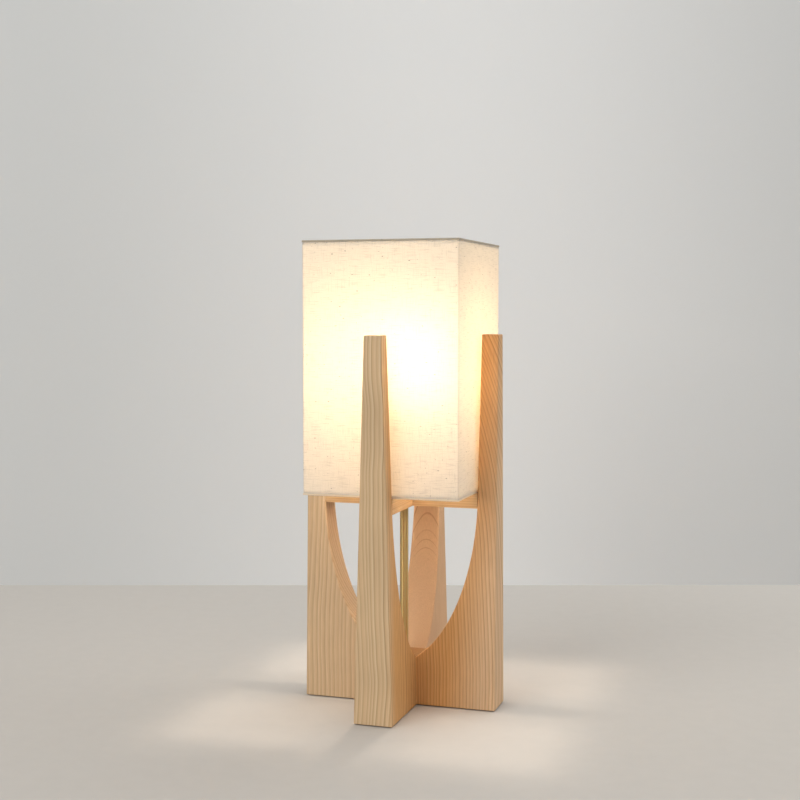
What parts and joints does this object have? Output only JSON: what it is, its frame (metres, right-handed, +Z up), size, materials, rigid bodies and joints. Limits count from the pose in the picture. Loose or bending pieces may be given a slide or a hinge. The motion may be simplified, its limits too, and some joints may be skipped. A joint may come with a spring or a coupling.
{
  "type": "wooden floor lamp",
  "caption": "Low lantern-style floor lamp: curved tapered wooden legs round a hub cradle a tall square linen shade on crossed rails, with a brass stem and a screw-in bulb.",
  "frame": {"origin": "on the floor under the stem, midway between the four legs", "axes": "+Z up; -Y towards the front leg and +X towards the right leg; the shade's faces square to X and Y"},
  "size_m": [0.232, 0.232, 0.54],
  "materials": {
    "wood": "matte, straight grain",
    "tenon_wood": "plain beech",
    "felt": "felt",
    "brass": "polished",
    "steel": "zinc plated",
    "cover_fibre": "matte",
    "rubber": "matte",
    "phenolic": "satin",
    "porcelain": "glazed",
    "bulb_metal": "satin",
    "bulb_black": "gloss",
    "opal_glass": "opal",
    "filament": "gloss",
    "linen": "plain weave",
    "hem_linen": "plain weave",
    "liner": "translucent",
    "frame_wire": "painted"
  },
  "bodies": {
    "frame": {"hub_block": "wood", "leg_right": "wood", "leg_back": "wood", "leg_left": "wood", "leg_front": "wood", "rail_left_right": "wood", "rail_front_back": "wood", "hub_tenon_right": "tenon_wood", "hub_tenon_back": "tenon_wood", "hub_tenon_left": "tenon_wood", "hub_tenon_front": "tenon_wood", "foot_pad_right": "felt", "foot_pad_back": "felt", "foot_pad_left": "felt", "foot_pad_front": "felt", "stem_tube": "brass", "lampholder_screw_shell": "brass", "lampholder_contact": "brass", "stem_foot_washer": "steel", "stem_foot_nut": "steel", "rail_washer": "steel", "rail_nut": "steel", "holder_lock_nut": "steel", "base_cover_screws": "steel", "lampholder_terminal_screws": "steel", "base_cover": "cover_fibre", "cord_gland": "rubber", "lampholder_cap": "phenolic", "lampholder_skirt": "phenolic", "lampholder_core": "porcelain"},
    "shade": {"shade_linen": "linen", "shade_top_hem": "hem_linen", "shade_bottom_hem": "hem_linen", "shade_liner": "liner", "shade_top_wire": "frame_wire", "shade_bottom_wire": "frame_wire"},
    "bulb_foot": {"bulb_cap": "bulb_metal", "bulb_insulator": "bulb_black", "bulb_contact": "bulb_metal"},
    "bulb_top": {"bulb_glass": "opal_glass", "bulb_mount": "opal_glass", "bulb_filaments": "filament"}
  },
  "joints": [
    {"name": "shade_lift", "type": "slide", "parent": "frame", "child": "shade", "axis": [0, 0, 1], "range_m": [0, 0.2]},
    {"name": "bulb_rise", "type": "slide", "parent": "frame", "child": "bulb_foot", "axis": [0, 0, 1], "range_m": [0, 0.01452]},
    {"name": "bulb_turn", "type": "hinge", "parent": "bulb_foot", "child": "bulb_top", "pos_m": [0, 0, 0.4], "axis": [0, 0, 1], "range_deg": [0, 1442]}
  ],
  "couplings": [
    {"joint": "bulb_turn", "follows": "bulb_rise", "rad_per_m": 1731.4}
  ]
}
